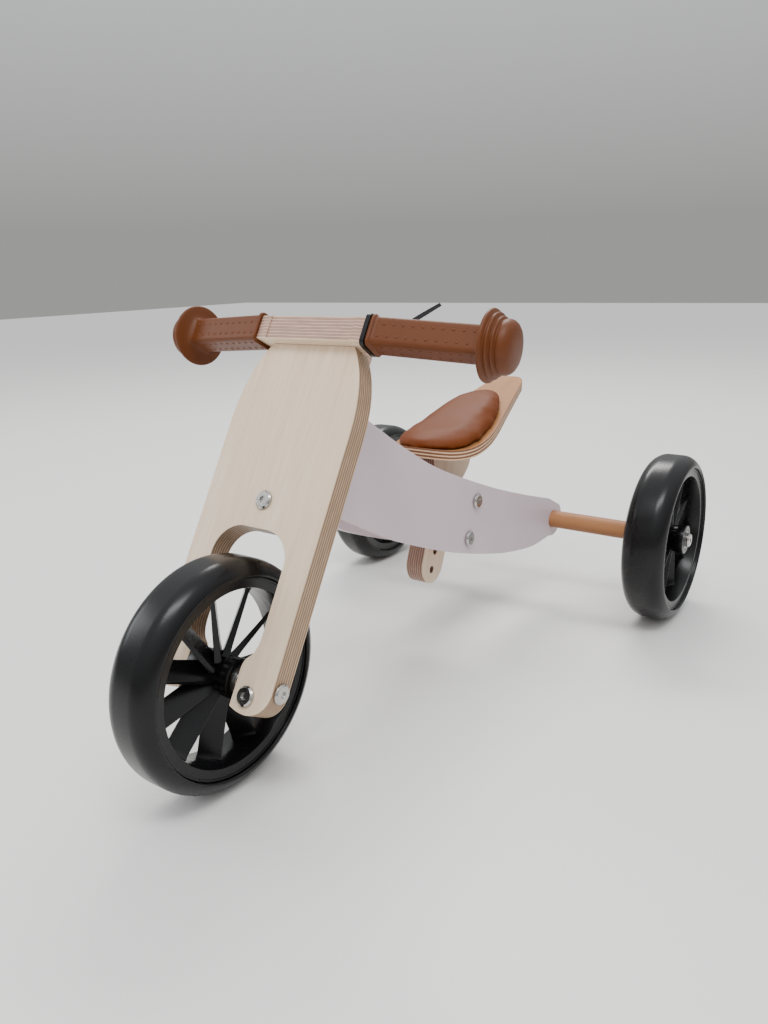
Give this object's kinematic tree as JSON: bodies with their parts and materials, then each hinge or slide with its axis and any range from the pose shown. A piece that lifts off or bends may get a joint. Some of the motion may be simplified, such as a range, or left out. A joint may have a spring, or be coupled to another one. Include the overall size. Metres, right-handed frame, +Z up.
{
  "type": "children's tricycle",
  "caption": "Wooden ride-on tricycle for toddlers: raked plywood fork, splayed side panels, padded seat and black wheels.",
  "frame": {"origin": "on the ground, halfway between the axles, in the middle of the width", "axes": "+Z up, +Y towards the rear, +X towards the rider's left"},
  "size_m": [0.475, 0.7276, 0.3866],
  "materials": {
    "birch_plywood": "clear lacquered birch plywood, edges showing the plies",
    "beech": "oiled beech",
    "pink_paint": "pale lilac pink satin lacquer on plywood",
    "seat_cover": "smooth caramel brown leatherette",
    "grip_rubber": "matt caramel brown moulded rubber",
    "tyre_rubber": "satin black solid rubber",
    "wheel_plastic": "black moulded plastic",
    "nickel_steel": "nickel plated steel",
    "bearing_steel": "steel",
    "nylon": "off-white nylon",
    "tie_plastic": "glossy black nylon strap"
  },
  "bodies": {
    "frame": {"side_panel_left": "pink_paint", "seat_block_left": "beech", "rear_axle_bolt_left": "nickel_steel", "rear_washer_outer_left": "nickel_steel", "rear_washer_inner_left": "nickel_steel", "side_panel_right": "pink_paint", "seat_block_right": "beech", "rear_axle_bolt_right": "nickel_steel", "rear_washer_outer_right": "nickel_steel", "rear_washer_inner_right": "nickel_steel", "rear_axle_dowel": "beech", "seat_post": "birch_plywood", "seat_board": "birch_plywood", "seat_pad": "seat_cover", "seat_bolt_lower": "nickel_steel", "seat_nut_lower": "nickel_steel", "seat_bolt_upper": "nickel_steel", "seat_nut_upper": "nickel_steel", "seat_screw_front": "nickel_steel", "seat_screw_rear": "nickel_steel", "steering_post": "beech", "head_bush_upper": "nylon", "head_bush_lower": "nylon"},
    "steering": {"fork_board": "birch_plywood", "handlebar": "birch_plywood", "cable_tie": "tie_plastic", "steering_bracket": "birch_plywood", "bracket_bolt": "nickel_steel", "bracket_insert": "nickel_steel", "steering_bolt": "nickel_steel", "steering_nut": "nickel_steel", "steering_washer_top": "nickel_steel", "thrust_washer_upper": "nylon", "thrust_washer_lower": "nylon", "front_axle_bolt": "nickel_steel", "front_axle_nut": "nickel_steel", "grip_left": "grip_rubber", "foot_screw_left": "nickel_steel", "foot_nut_left": "nickel_steel", "front_spacer_left": "nickel_steel", "grip_right": "grip_rubber", "foot_screw_right": "nickel_steel", "foot_nut_right": "nickel_steel", "front_spacer_right": "nickel_steel"},
    "front_wheel": {"front_wheel_tyre": "tyre_rubber", "front_wheel_rim": "wheel_plastic", "front_wheel_bearing_left": "bearing_steel", "front_wheel_bearing_right": "bearing_steel"},
    "rear_wheel_left": {"rear_left_wheel_tyre": "tyre_rubber", "rear_left_wheel_rim": "wheel_plastic", "rear_left_wheel_bearing_left": "bearing_steel", "rear_left_wheel_bearing_right": "bearing_steel"},
    "rear_wheel_right": {"rear_right_wheel_tyre": "tyre_rubber", "rear_right_wheel_rim": "wheel_plastic", "rear_right_wheel_bearing_left": "bearing_steel", "rear_right_wheel_bearing_right": "bearing_steel"}
  },
  "joints": [
    {"name": "steering", "type": "hinge", "parent": "frame", "child": "steering", "pos_m": [0, -0.13601, 0.25456], "axis": [0, 0.5165, 0.8563], "range_deg": [-35, 35]},
    {"name": "front_wheel_spin", "type": "hinge", "parent": "steering", "child": "front_wheel", "pos_m": [0, -0.265, 0.0988], "axis": [1, 0, 0], "continuous": true},
    {"name": "rear_left_wheel_spin", "type": "hinge", "parent": "frame", "child": "rear_wheel_left", "pos_m": [0.2085, 0.265, 0.0988], "axis": [1, 0, 0], "continuous": true},
    {"name": "rear_right_wheel_spin", "type": "hinge", "parent": "frame", "child": "rear_wheel_right", "pos_m": [-0.2085, 0.265, 0.0988], "axis": [1, 0, 0], "continuous": true}
  ]
}
